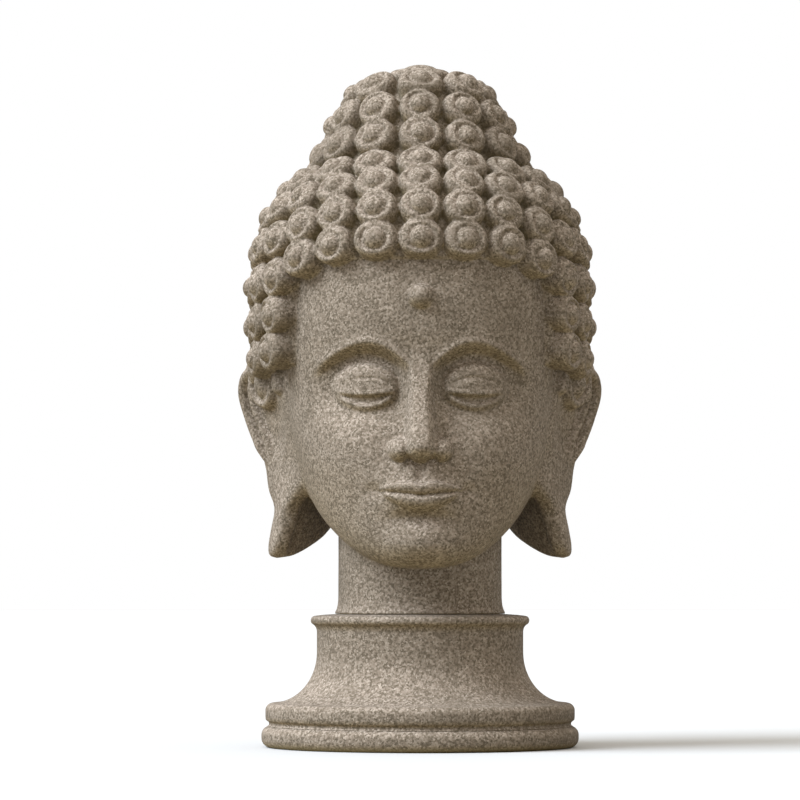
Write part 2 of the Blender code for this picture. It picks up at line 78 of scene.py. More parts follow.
# The face: eyes one eye's width apart, a mouth a little wider than the nose
EYE_PLACE = 32.5
EYE_WIDTH = 33.0
LIP_HALF = 26.0
URNA_HEIGHT = 189.0
URNA_RADIUS = 7.5

# Fineness
VOXEL = 0.0008
MOST_TRIANGLES = 190000
BLEND_PASSES = 80
CURL_SEGMENTS = 64
TURNED_SIDES = 256

# Level sections of the skull and face: height, half width, front, middle and back
FACE_SECTIONS = [
    (27.0, 0.0, -78.0, -78.0, -78.0),
    (28.5, 17.0, -91.0, -74.0, -58.0),
    (32.5, 29.0, -96.5, -68.0, -36.0),
    (39.0, 40.0, -99.5, -56.0, -12.0),
    (48.0, 50.5, -100.0, -40.0, 8.0),
    (60.0, 60.5, -99.5, -24.0, 26.0),
    (76.0, 69.5, -99.0, -12.0, 42.0),
    (94.0, 76.0, -97.0, -4.0, 56.0),
    (112.0, 80.0, -93.0, 0.0, 68.0),
    (130.0, 82.0, -91.0, 2.0, 78.0),
    (148.0, 83.0, -92.0, 2.0, 86.0),
    (168.0, 84.0, -94.5, 2.0, 92.0),
    (190.0, 84.0, -94.5, 2.0, 94.0),
    (212.0, 83.0, -91.5, 2.0, 92.0),
    (232.0, 79.0, -84.0, 2.0, 86.0),
    (252.0, 70.0, -73.0, 2.0, 75.0),
    (270.0, 50.0, -50.0, 2.0, 54.0),
    (280.0, 0.0, 2.0, 2.0, 2.0),
]

# Level sections of the scalp that the curls sit on
SCALP_SECTIONS = [
    (82.0, 0.0, 12.0, 12.0, 12.0),
    (84.0, 58.0, -28.0, 12.0, 58.0),
    (98.0, 78.0, -62.0, 11.0, 74.0),
    (122.0, 90.0, -76.0, 10.0, 88.0),
    (148.0, 95.5, -84.5, 8.0, 97.0),
    (172.0, 96.5, -89.5, 6.0, 101.5),
    (200.0, 96.5, -93.0, 5.0, 102.5),
    (222.0, 94.0, -93.0, 4.0, 99.5),
    (241.5, 87.0, -87.0, 3.0, 91.5),
    (256.0, 77.0, -76.0, 2.0, 81.0),
    (267.0, 66.5, -64.5, 2.0, 69.5),
    (277.0, 58.0, -55.0, 2.0, 60.0),
    (290.0, 51.0, -48.5, 2.0, 53.0),
    (303.0, 45.5, -42.0, 2.0, 48.0),
    (315.0, 37.5, -34.0, 2.0, 41.5),
    (322.5, 27.5, -23.5, 2.0, 31.0),
    (326.5, 0.0, 2.0, 2.0, 2.0),
]

# Rings of curls: height at the front, and the bearing from the front where the ring begins
CURL_RINGS = [
    (325.9, 180.0),
    (320.0, 0.0),
    (305.3, 0.0),
    (287.3, 0.0),
    (268.0, 0.0),
    (255.5, 0.0),
    (240.6, 0.0),
    (222.7, 0.0),
    (203.0, 61.0),
    (184.0, 63.0),
    (165.0, 104.0),
]
HAIRLINE = 212.0
TEMPLE_BEARING = 52.0

# Level sections of the ear's plate: height, front edge across and back, rear edge across and back,
# and half thickness; the front edge lies inside the cheek
EAR_SECTIONS = [
    (34.0, 87.0, -4.0, 88.0, 2.0, 0.0),
    (36.0, 86.0, -9.0, 89.0, 6.0, 4.6),
    (42.0, 84.0, -13.0, 89.0, 9.0, 6.0),
    (52.0, 81.5, -15.0, 87.0, 12.0, 6.6),
    (64.0, 78.0, -17.0, 84.5, 14.0, 7.4),
    (76.0, 70.0, -26.0, 90.3, 17.0, 7.0),
    (90.0, 66.0, -31.0, 93.4, 20.0, 6.0),
    (104.0, 69.0, -31.0, 97.4, 24.0, 5.4),
    (120.0, 72.0, -29.0, 103.5, 27.0, 5.0),
    (136.0, 74.0, -27.0, 108.0, 28.0, 5.0),
    (148.0, 77.0, -20.0, 106.0, 24.0, 4.6),
    (154.0, 83.0, -6.0, 99.0, 17.0, 3.0),
    (156.0, 91.0, 5.0, 92.0, 7.0, 0.0),
]

# Level sections of the stone left between lobe and nape, in the same terms
WEB_SECTIONS = [
    (34.4, 87.0, -4.0, 85.0, 0.0, 0.0),
    (36.0, 86.5, -5.0, 80.0, 7.0, 4.0),
    (41.0, 85.0, -6.0, 71.0, 20.0, 5.0),
    (49.0, 83.0, -7.0, 61.0, 31.0, 5.8),
    (60.0, 80.0, -9.0, 54.0, 37.0, 6.4),
    (74.0, 79.0, -12.0, 52.0, 38.0, 7.0),
    (88.0, 77.0, -10.0, 56.0, 36.0, 6.0),
    (98.0, 74.0, -4.0, 62.0, 28.0, 0.0),
]

# Ridges of the ear as paths of places along the plate from its middle, and heights
EAR_RIM = [
    (-17, 138), (-14, 148), (-3, 153), (12, 152.5), (25, 147), (30.5, 134), (29.5, 118),
    (26, 104), (22, 92),
]
EAR_FOLD = [(16.5, 147), (20, 136), (18.5, 121), (14.5, 107), (12.5, 90)]
EAR_LOOP = [(-8, 146), (-8, 138), (-4.5, 131.5), (3, 128.5), (10.5, 130.5), (15, 136), (17, 144)]
EAR_PEA = (2.0, 141.5, 8.0, 11.5)

# The stone's grains, the olive dirt and painted shade in its hollows, and the painted shade and painted
# light that downward and upward faces are multiplied by
LIGHT_GRAIN = (0.172, 0.130, 0.088)
DARK_GRAIN = (0.082, 0.061, 0.037)
HOLLOW_DIRT_AND_SHADE = (0.150, 0.118, 0.060)
PALE_GRAIN = (0.285, 0.226, 0.162)
UNDERSIDE_SHADE = (1.00, 0.92, 0.64)
UPWARD_PAINTED_LIGHT = (1.50, 1.51, 1.58)

rng = np.random.default_rng(7)


def flowing(rows, places):
    """A smooth curve through the rows, read at places that count rows from 0."""
    rows = np.array(rows, dtype=float)
    before = 2 * rows[0] - rows[1]
    after = 2 * rows[-1] - rows[-2]
    padded = np.vstack([before, rows, after])
    index = np.clip(places.astype(int), 0, len(rows) - 2)
    t = (places - index)[:, None]
    a, b, c, d = (padded[index + k] for k in range(4))
    return 0.5 * (2 * b + (c - a) * t + (2 * a - 5 * b + 4 * c - d) * t**2 + (3 * b - a - 3 * c + d) * t**3)


def bump(values, centre, reach):
    """1 at the centre, falling smoothly to 0 at the reach."""
    t = np.clip(np.abs(values - centre) / reach, 0, 1)
    return (1 - t * t) ** 2


def step(values, low, high):
    """0 below low and 1 above high, with a smooth rise."""
    t = np.clip((values - low) / (high - low), 0, 1)
    return t * t * (3 - 2 * t)


def mound(x, h, centre_x, centre_h, reach_x, reach_h):
    """A round mound in the face's plane, 1 at its centre."""
    t = np.clip(((x - centre_x) / reach_x) ** 2 + ((h - centre_h) / reach_h) ** 2, 0, 1)
    return (1 - t) ** 2


def ball(x, h, centre_x, centre_h, reach_x, reach_h):
    """The height of half an ellipsoid in the face's plane, 1 at its centre."""
    t = np.clip(((x - centre_x) / reach_x) ** 2 + ((h - centre_h) / reach_h) ** 2, 0, 1)
    return np.sqrt(1 - t)


def dome(x, h, centre_x, centre_h, reach_x, reach_h, height):
    """A round dome that goes on down steeply past its foot, to be set on a surface."""
    spread = ((x - centre_x) / reach_x) ** 2 + ((h - centre_h) / reach_h) ** 2
    return np.where(spread < 1, height * np.sqrt(np.clip(1 - spread, 0, 1)), 30 * (1 - np.sqrt(spread)))


def higher(a, b, blend):
    """The higher of two surfaces, with a rounded crease between them."""
    k = np.clip(0.5 + 0.5 * (a - b) / blend, 0, 1)
    return b + (a - b) * k + blend * k * (1 - k)


def eye_relief(side, h):
    """Hollow below the brow, lidded eyeball with downcast lids, and the brow's fine ridge."""
    along = np.clip((side - 5) / 57, 0, 1)
    brow = 145 + 3 * along + 15 * np.sin(math.pi * along**0.9)
    reach = step(side, 6, 17) * step(68 - side, 0, 20)
    relief = -9.0 * step(brow - h, 0.3, 6.5) * step(h, 104, 140) * reach
    relief += 1.4 * bump(h, brow + 1.0, 3.2) * step(side, 4, 10) * step(66 - side, 0, 10)
    spread = ((side - EYE_PLACE) / 20.5) ** 2 + ((h - 134.5) / 15.5) ** 2
    globe = np.where(spread < 1, -8.0 + 9.2 * np.sqrt(np.clip(1 - spread, 0, 1)), -8 - 14 * (spread - 1))
    relief = higher(relief, globe, 2.4)
    t = (side - EYE_PLACE) / (EYE_WIDTH / 2)
    inside = np.clip(1 - t * t, 0, 1)
    upper = 129.8 + 1.6 * t * t
    lower = upper - 5.2 * inside
    opening = step(upper - h, -0.2, 0.7) * step(h - lower, -0.2, 0.9) * step(inside, 0, 0.2)
    relief -= 2.4 * opening
    relief += 1.3 * bump(h, upper + 1.5, 2.2) * step(1.12 - np.abs(t), 0, 0.2)
    relief += 1.1 * bump(h, lower - 1.6, 2.6) * step(inside, 0, 0.25)
    relief -= 1.2 * bump(h, upper + 1.8 + 9.2 * inside**0.6, 1.6) * step(inside, 0.02, 0.3)
    return relief


def nose_relief(side, h):
    """Straight bridge, round tip, wings and nostrils, falling away below the face all round."""
    heights = [84, 90.5, 92, 94.5, 98, 103, 115, 130, 146, 156, 170]
    bridge = np.interp(h, heights, [-12, 0, 9, 16, 19.2, 19, 15.5, 10, 3, 0, -8])
    crest = np.interp(h, [95, 110, 130, 150], [4.2, 3.8, 3.0, 4.4])
    foot = np.interp(h, [92, 100, 115, 132, 150], [14.5, 15.5, 14.0, 12.5, 14.5])
    relief = bridge - (np.maximum(bridge, 0) + 10) * step(side, crest, foot)
    relief -= 20 * step(side, foot, foot + 12)
    relief = higher(relief, dome(side, h, 0, 99.5, 9.8, 9.4, 20.8), 1.6)
    relief = higher(relief, dome(side, h, 12.2, 97.6, 7.4, 7.2, 12.4), 1.2)
    relief -= 6.0 * mound(side, h, 7.0, 91.6, 5.0, 3.4)
    return relief


def mouth_relief(side, h):
    """Closed lips with a faint upward turn, the philtrum, and the hollow over the chin."""
    line = 71.0 + 2.0 * (side / 26) ** 2 - 0.9 * np.exp(-((side / 6) ** 2))
    width = np.clip(1 - (side / LIP_HALF) ** 2, 0, 1)
    top = line + 8.8 * width**0.75 - 1.6 * np.exp(-((side / 3.0) ** 2)) + 0.001
    bottom = line - 9.2 * np.clip(1 - (side / (LIP_HALF - 3)) ** 2, 0, 1) ** 0.75 - 0.001
    upper_share = np.clip((h - line) / (top - line), 0, 1)
    lower_share = np.clip((line - h) / (line - bottom), 0, 1)
    upper = 5.2 * step(1 - upper_share, 0, 0.22) * (h >= line)
    upper *= 0.45 + 0.55 * step(upper_share, -0.4, 0.8)
    lower = 5.6 * np.sqrt(np.clip(1 - ((lower_share - 0.40) / 0.60) ** 2, 0, 1)) * (h < line)
    relief = (upper + lower) * width**0.4
    relief -= 2.8 * bump(h, line, 1.7) * step(LIP_HALF + 2 - side, 0, 4)
    relief -= 2.0 * mound(side, h, 27.5, 72.5, 8.5, 7.5)
    relief -= 2.0 * bump(side, 0, 4.4) * step(h, 78.5, 81.5) * step(91 - h, 0, 3)
    relief += 0.9 * bump(side, 5.2, 3.4) * step(h, 78.5, 82.5) * step(91 - h, 0, 4)
    relief += 5.5 * mound(side, h, 0, 73, 40, 27)
    relief -= 4.5 * mound(side, h, 0, 57.0, 24, 8.5)
    return relief


def face_relief(x, h):
    """How far the face stands in front of its plain oval, by the canon of thirds and fifths."""
    side = np.abs(x)
    relief = eye_relief(side, h)
    relief += mouth_relief(side, h)
    relief += 4.5 * mound(side, h, 0, 42, 27, 17)
    relief += 3.6 * mound(side, h, 43, 101, 32, 34)
    relief = higher(relief, nose_relief(side, h), 1.6)
    return higher(relief, dome(side, h, 0, URNA_HEIGHT, URNA_RADIUS, URNA_RADIUS, 7.4), 0.3)


def section_place(sections, unit, squareness):
    """Points of a form made of level sections, for points of a unit sphere."""
    rows = (len(sections) - 1) * np.arccos(np.clip(-unit[:, 2], -1, 1)) / math.pi
    h, half, front, middle, back = flowing(sections, rows).T
    round_length = np.maximum(np.hypot(unit[:, 0], unit[:, 1]), 1e-9)
    across = unit[:, 0] / round_length
    along = unit[:, 1] / round_length
    x = half * np.sign(across) * np.abs(across) ** (2 / squareness)
    depth = np.where(along < 0, middle - front, back - middle)
    y = middle + depth * np.sign(along) * np.abs(along) ** (2 / squareness)
    return np.column_stack([x, y, h])


def face_place(unit):
    """The skull and face."""
    points = section_place(FACE_SECTIONS, unit, 2.25)
    x, y, h = points.T
    points[:, 1] -= face_relief(x, h) * step(-y, 15, 55)
    return points


def scalp_place(unit):
    """The scalp, drawn in under the skin where the face is bare."""
    points = section_place(SCALP_SECTIONS, unit, 2.0)
    bearing = np.degrees(np.arctan2(np.abs(unit[:, 0]), -unit[:, 1]))
    bare = step(HAIRLINE - points[:, 2], 0, 6) * step(TEMPLE_BEARING - bearing, -4, 4)
    behind_ear = 82 + 70 * step(111 - bearing, 0, 26)
    bare = np.maximum(bare, step(behind_ear - points[:, 2], 0, 6))
    points[:, :2] *= (1 - 0.22 * bare)[:, None]
    return points


def plate_place(sections, unit, relief):
    """An upright plate made of level sections, with a relief on its outer face."""
    rows = (len(sections) - 1) * np.arccos(np.clip(-unit[:, 2], -1, 1)) / math.pi
    h, front_x, front_y, rear_x, rear_y, thickness = flowing(sections, rows).T
    length = np.maximum(np.hypot(rear_x - front_x, rear_y - front_y), 0.01)
    back_x = (rear_x - front_x) / length
    back_y = (rear_y - front_y) / length
    round_length = np.maximum(np.hypot(unit[:, 0], unit[:, 1]), 1e-9)
    across = unit[:, 0] / round_length
    along = unit[:, 1] / round_length
    across = np.sign(across) * np.abs(across) ** 0.6
    place = length / 2 * np.sign(along) * np.abs(along) ** 0.8
    offset = np.maximum(thickness, 0) * across
    offset += relief(place, h) * step(across, 0.1, 0.6)
    x = (front_x + rear_x) / 2 + place * back_x + offset * back_y
    y = (front_y + rear_y) / 2 + place * back_y - offset * back_x
    return np.column_stack([x, y, h])


def path_distance(place, h, path):
    """Distance from points of the ear's plane to a smooth path."""
    points = flowing(path, np.linspace(0, len(path) - 1, 60))
    nearest = np.full(len(h), 1e9)
    for point in points:
        nearest = np.minimum(nearest, np.hypot(place - point[0], h - point[1]))
    return nearest


def ear_relief(place, h):
    """The ear's shell: a hollow inside a rolled rim, with a fold, and a pea in a loop."""
    relief = -5.0 * mound(place, h, 7, 124, 26, 30) ** 0.5
    relief -= 2.0 * mound(place, h, 6, 119, 9, 12)
    for path, reach, height in (
        (EAR_RIM, 4.6, 4.4),
        (EAR_FOLD, 3.4, 1.4),
        (EAR_LOOP, 3.0, 2.4),
    ):
        reach = reach * (0.45 + 0.55 * step(h, 84, 112))
        distance = path_distance(place, h, path)
        ridge = height * step(h, 88, 104) + 5.0 * (np.sqrt(np.clip(1 - (distance / reach) ** 2, 0, 1)) - 1)
        relief = np.where(distance < reach, np.maximum(relief, ridge), relief)
    pea = 9.0 * ball(place, h, *EAR_PEA) - 3.6
    return np.maximum(relief, pea)


def no_relief(place, h):
    """A plain face."""
    return 0 * h


def ear_place(unit):
    """The ear on the +X side."""
    return plate_place(EAR_SECTIONS, unit, ear_relief)


def web_place(unit):
    """The stone between lobe and nape on the +X side."""
    return plate_place(WEB_SECTIONS, unit, no_relief)


SCALP_TABLE = flowing(SCALP_SECTIONS, np.linspace(0, len(SCALP_SECTIONS) - 1, 400))


def scalp_point(bearing, height):
    """A point of the scalp at a bearing in radians from the front, and at a height."""
    half, front, middle, back = (
        np.interp(height, SCALP_TABLE[:, 0], SCALP_TABLE[:, k]) for k in range(1, 5)
    )
    depth = np.where(np.cos(bearing) > 0, middle - front, back - middle)
    return np.array([half * np.sin(bearing), middle - depth * np.cos(bearing), height])


def back_heights():
    """The rings' heights at the back of the scalp, where they are evenly spaced."""
    down = np.linspace(*BACK_RINGS, 200)
    depth = np.interp(down, SCALP_TABLE[:, 0], SCALP_TABLE[:, 4])
    lengths = np.concatenate([[0], np.cumsum(np.hypot(np.diff(down), np.diff(depth)))])
    return np.interp(np.linspace(0, lengths[-1], len(CURL_RINGS) - 1), lengths, down)


FRONT_TO_BACK = (np.array([height for height, first in CURL_RINGS[:0:-1]]), back_heights()[::-1])


def ring_height(front_height, bearing):
    """The height of a ring of curls, which sinks towards the back and dips around the temple."""
    sunk = (UNITS_TALL - front_height) * (1 + RING_DROP * (1 - math.cos(bearing)))
    turn = math.degrees(bearing)
    dip = TEMPLE_DIP * step(turn, 38, 58) * step(96 - turn, 0, 34) * step(262 - front_height, 0, 38)
    height = UNITS_TALL - sunk - dip
    return height + (np.interp(front_height, *FRONT_TO_BACK) - height) * step(turn, 85, 165)


def ring_point(front_height, bearing):
    """A point on a ring of curls."""
    return scalp_point(bearing, ring_height(front_height, bearing))


def outward(front_height, bearing):
    """The scalp's outward normal on a ring of curls."""
    nudge = 0.02
    along = ring_point(front_height, bearing + nudge) - ring_point(front_height, bearing - nudge)
    height = ring_height(front_height, bearing)
    up = scalp_point(bearing, height + 1) - scalp_point(bearing, height - 1)
    normal = np.cross(along, up)
    return normal / np.linalg.norm(normal)


def ring_gap(row, bearing):
    """Half the distance from a ring of curls to the rings beside it, at a bearing."""
    heights = [height for height, first in CURL_RINGS]
    here = ring_point(heights[row], bearing)
    gaps = []
    for other in (row - 1, row + 1):
        if 0 < other < len(heights):
            gaps.append(np.linalg.norm(ring_point(heights[other], bearing) - here))
    return min(max(sum(gaps) / len(gaps) / 2, LEAST_CURL), CURL_RADIUS * 1.1)


def curl_places():
    """Centre, outward direction and half sizes, along and up the ring, of each curl."""
    crown = np.array([0.0, 2.0, CURL_RINGS[0][0]])
    places = [(crown, np.array([0.0, 0.0, 1.0]), TOP_CURL_RADIUS, TOP_CURL_RADIUS)]
    for row, (front_height, first_bearing) in enumerate(CURL_RINGS[1:], start=1):
        bearings = np.linspace(math.radians(first_bearing), math.pi, 200)
        points = np.array([ring_point(front_height, b) for b in bearings])
        lengths = np.concatenate([[0], np.cumsum(np.linalg.norm(np.diff(points, axis=0), axis=1))])
        steps = max(2, round(lengths[-1] / CURL_STEP))
        for place in np.linspace(0, lengths[-1], steps + 1):
            bearing = float(np.interp(place, lengths, bearings))
            centre = ring_point(front_height, bearing)
            normal = outward(front_height, bearing)
            reaches = (lengths[-1] / steps / 2, ring_gap(row, bearing))
            places.append((centre, normal, *reaches))
            if abs(centre[0]) > 1:
                mirror = np.array([-1.0, 1.0, 1.0])
                places.append((centre * mirror, normal * mirror, *reaches))
    return places


def to_metres(points):
    """Carver's units above the neck's foot to metres above the ground."""
    return points * UNIT + np.array([0.0, 0.0, NECK_FOOT])


def wrapped_mesh(points, segments):
    """A closed mesh of a start point, rings of points and an end point."""
    rings = (len(points) - 2) // segments
    ring = np.arange(segments)
    after = (ring + 1) % segments
    near = 1 + segments * np.arange(rings - 1)[:, None]
    quads = np.stack([near + ring, near + segments + ring, near + segments + after, near + after], axis=-1)
    last = 1 + segments * (rings - 1)
    first_fan = np.stack([0 * ring, 1 + ring, 1 + after], axis=-1)
    last_fan = np.stack([last + ring, 0 * ring + len(points) - 1, last + after], axis=-1)
    loops = np.concatenate([quads.ravel(), first_fan.ravel(), last_fan.ravel()])
    quad_count = quads.size // 4
    starts = np.concatenate([4 * np.arange(quad_count), 4 * quad_count + 3 * np.arange(2 * segments)])
    mesh = bpy.data.meshes.new("form")
    mesh.vertices.add(len(points))
    mesh.vertices.foreach_set("co", np.asarray(points, dtype=np.float32).ravel())
    mesh.loops.add(len(loops))
    mesh.loops.foreach_set("vertex_index", loops.astype(np.int32))
    mesh.polygons.add(len(starts))
    mesh.polygons.foreach_set("loop_start", starts.astype(np.int32))
    mesh.update(calc_edges=True)
    return mesh


def moved_sphere(segments, rings, place):
    """A unit sphere whose points are moved by a function of their directions."""
    polar = np.linspace(0, math.pi, rings + 1)[1:-1, None]
    turn = np.linspace(0, 2 * math.pi, segments, endpoint=False)[None, :]
    level = np.sin(polar)
    unit = np.stack([level * np.cos(turn), level * np.sin(turn), np.cos(polar) + 0 * turn], axis=-1)
    unit = np.vstack([[[0.0, 0.0, 1.0]], unit.reshape(-1, 3), [[0.0, 0.0, -1.0]]])
    return wrapped_mesh(to_metres(place(unit)), segments)


def mirrored(place):
    """The same form on the -X side."""
    return lambda unit: place(unit) * np.array([-1.0, 1.0, 1.0])


def curl_points(reach_x, reach_y, winding, button_top, segments):
    """One curl in its own axes: a bulging boss whose rim winds in around a domed button."""
    angle = np.linspace(0, 2 * math.pi, segments, endpoint=False)[None, :]
    wound = np.mod(angle / (2 * math.pi) - winding, 1)
    along = (np.abs(np.cos(angle)) / reach_x) ** CURL_SQUARENESS
    across = (np.abs(np.sin(angle)) / reach_y) ** CURL_SQUARENESS
    edge = (along + across) ** (-1 / CURL_SQUARENESS)
    floor = GROOVE_FLOOR + 1.8 * wound**2
    middle = GROOVE_SHARE * min(reach_x, reach_y)
    groove = middle + 0.9 - 1.8 * wound
    crest = groove + (0.34 - 0.08 * wound) * (edge - groove)
    quarter = np.radians(np.linspace(0, 90, 9))[:, None]
    out = np.sin(quarter[1:])
    button_radius = (middle + (groove - middle) * out**3 - GROOVE_WIDTH) * out
    button_height = floor + (button_top - floor) * np.cos(quarter[1:])
    rise_radius = crest - (crest - groove) * np.cos(quarter)
    rise_height = floor + (RING_TOP - floor) * np.sin(quarter)
    fall_radius = crest + (edge - crest) * out
    fall_height = SHOULDER + (RING_TOP - SHOULDER) * np.cos(quarter[1:]) + 0 * edge
    under = np.linspace(0, 1, 5)[1:, None]
    under_radius = edge * (1 - UNDERCUT * under**2)
    under_height = SHOULDER + (CURL_ROOT - SHOULDER) * under + 0 * edge
    radius = np.vstack([button_radius, rise_radius, fall_radius, under_radius])
    height = np.vstack([button_height, rise_height, fall_height, under_height])
    grid = np.stack([radius * np.cos(angle), radius * np.sin(angle), height], axis=-1)
    return np.vstack([[[0.0, 0.0, button_top]], grid.reshape(-1, 3), [[0.0, 0.0, CURL_ROOT]]])


def curl_meshes():
    """Every curl as a closed mesh, each leaning, sized and wound a little differently."""
    meshes = []
    for centre, normal, reach_x, reach_y in curl_places():
        lean = normal + rng.normal(0, 0.05, 3)
        lean /= np.linalg.norm(lean)
        side = np.cross([0.0, 0.3, 1.0], lean)
        side /= np.linalg.norm(side)
        other = np.cross(lean, side)
        reach_x *= rng.uniform(0.99, 1.05)
        reach_y *= rng.uniform(0.98, 1.04)
        button_top = BUTTON_TOP * rng.uniform(0.96, 1.03)
        local = curl_points(reach_x, reach_y, rng.uniform(0, 1), button_top, CURL_SEGMENTS)
        placed = centre + local @ np.array([side, other, lean])
        meshes.append(wrapped_mesh(to_metres(placed), CURL_SEGMENTS))
    return meshes


def turned(profile, sides):
    """A closed mesh of a profile of (radius, height) turned about Z; its ends lie on the axis."""
    angle = np.linspace(0, 2 * math.pi, sides, endpoint=False)
    points = [np.array([[0.0, 0.0, profile[0][1]]])]
    for radius, height in profile[1:-1]:
        level = [radius * np.cos(angle), radius * np.sin(angle), 0 * angle + height]
        points.append(np.stack(level, axis=-1))
    points.append(np.array([[0.0, 0.0, profile[-1][1]]]))
    return wrapped_mesh(np.vstack(points), sides)


def arc(centre_r, centre_z, reach_r, reach_z, start, end, count):
    """Points of an elliptic arc of a profile, its angles in degrees from +R."""
    angles = np.radians(np.linspace(start, end, count))
    return [(centre_r + reach_r * math.cos(a), centre_z + reach_z * math.sin(a)) for a in angles]


def evaluated_mesh(obj):
    """The object's mesh with its modifiers applied; the object is removed."""
    depsgraph = bpy.context.evaluated_depsgraph_get()
    mesh = bpy.data.meshes.new_from_object(obj.evaluated_get(depsgraph))
    old = obj.data
    bpy.data.objects.remove(obj)
    bpy.data.meshes.remove(old)
    return mesh


def joined(meshes):
    """One object that holds all the meshes, which are removed."""
    bm = bmesh.new()
    for mesh in meshes:
        bm.from_mesh(mesh)
        bpy.data.meshes.remove(mesh)
    whole = bpy.data.meshes.new("joined")
    bm.to_mesh(whole)
    bm.free()
    obj = bpy.data.objects.new("joined", whole)
    bpy.context.scene.collection.objects.link(obj)
    return obj


def grown_together(obj, voxel, soften):
    """Adds modifiers that make one skin of loose forms and soften its creases."""
    remesh = obj.modifiers.new("grow_together", "REMESH")
    remesh.mode = "VOXEL"
    remesh.voxel_size = voxel
    smooth = obj.modifiers.new("soften", "SMOOTH")
    smooth.factor = 0.4
    smooth.iterations = soften


def neck_profile():
    """The neck's outline, from inside the head to its foot."""
    foot = NECK_RADIUS + NECK_FLARE
    points = [(0, 100), (NECK_RADIUS + 2, 100), (NECK_RADIUS, 60), (NECK_RADIUS, 12)]
    points += arc(foot + 0.4, 10.6, NECK_FLARE + 0.4, 10.0, 180, 262, 10)
    points += [(foot, 0), (0, 0)]
    return [(r * UNIT, NECK_FOOT + h * UNIT) for r, h in points]


def new_object(name, mesh):
    """An object of the mesh, linked to the scene."""
    mesh.name = name
    made = bpy.data.objects.new(name, mesh)
    bpy.context.scene.collection.objects.link(made)
    return made


def blend_weight(x, y, h):
    """Where the skin is smoothed most: the valley between cheek and ear, and the neck's crease."""
    side = np.abs(x)
    valley = step(side, 58, 68) * step(94 - side, 0, 10) * step(-y, -6, 8) * step(48 + y, 0, 12)
    valley *= step(h, 60, 74) * step(136 - h, 0, 14)
    crease = bump(np.hypot(x, y), NECK_RADIUS + 2, 9) * bump(h, 34, 18)
    return np.maximum(valley, crease)


def softened(mesh):
    """The mesh with its valleys filled by smoothing."""
    head = new_object("softened", mesh)
    points = np.empty(len(mesh.vertices) * 3, dtype=np.float32)
    mesh.vertices.foreach_get("co", points)
    x, y, h = (points.reshape(-1, 3) - [0, 0, NECK_FOOT]).T / UNIT
    levels = np.round(blend_weight(x, y, h) * 8).astype(int)
    group = head.vertex_groups.new(name="valleys")
    for level in range(1, 9):
        group.add(np.flatnonzero(levels == level).tolist(), level / 8, "REPLACE")
    smooth = head.modifiers.new("fill_valleys", "SMOOTH")
    smooth.vertex_group = "valleys"
    smooth.factor = 0.5
    smooth.iterations = round(BLEND_PASSES * (0.0009 / VOXEL) ** 2)
    return evaluated_mesh(head)


def make_head():
    """The whole head as one skin, flat at the foot."""
    detail = 760
    meshes = [turned(neck_profile(), TURNED_SIDES)]
    meshes.append(moved_sphere(detail, detail, face_place))
    meshes.append(moved_sphere(240, 240, scalp_place))
    for place in (ear_place, mirrored(ear_place), web_place, mirrored(web_place)):
        meshes.append(moved_sphere(300, 280, place))
    meshes += curl_meshes()
    head = joined(meshes)
    grown_together(head, VOXEL, 2)
    mesh = softened(evaluated_mesh(head))
    points = np.empty(len(mesh.vertices) * 3, dtype=np.float32)
    mesh.vertices.foreach_get("co", points)
    points[2::3] = np.maximum(points[2::3], NECK_FOOT)
    mesh.vertices.foreach_set("co", points)
    triangles = sum(len(p.vertices) - 2 for p in mesh.polygons)
    head = new_object("carved_head", mesh)
    if triangles > MOST_TRIANGLES:
        thin = head.modifiers.new("fewer", "DECIMATE")
        thin.ratio = MOST_TRIANGLES / triangles
        head = new_object("carved_head", evaluated_mesh(head))
    head.data.name = "carved_head"
    head.data.shade_smooth()
    return head


def socle_profile():
    """The socle's outline in millimetres from the centre of its top to the centre of its underside."""
    top = SOCLE_HEIGHT * 1000
    points = [(0, top), (25, top), (53.4, top), (60, top - 0.4), (64.0, top - 0.9)]
    points += arc(64.6, top - 3.8, 2.6, 2.8, 88, -70, 12)
    points += arc(67.4, 70.5, 4.0, 5.0, 130, 180, 6)
    points += [(63.4, 64), (63.4, 58)]
    points += arc(90.9, 58, 27.5, 31, 184, 268, 22)
    points += arc(90.4, 22.5, 4.5, 4.5, 85, 0, 10)
    points += [(94.9, 19), (94.7, 16.8)]
    points += arc(94.2, 14.4, 1.6, 1.6, 110, 250, 7)
    points += arc(91.8, 7.6, 5.5, 5.4, 75, 0, 9)
    points += arc(91.8, 5.5, 5.5, 5.5, 0, -90, 11)
    points += [(45, 0), (0, 0)]
    return [(r / 1000, z / 1000) for r, z in points]


def make_socle():
    """The turned stand."""
    socle = new_object("turned_socle", turned(socle_profile(), TURNED_SIDES))
    socle.data.shade_smooth()
    return socle


def node(tree, kind, **inputs):
    """A shader node with its input values."""
    made = tree.nodes.new(kind)
    for name, value in inputs.items():
        made.inputs[name.replace("_", " ")].default_value = value
    return made


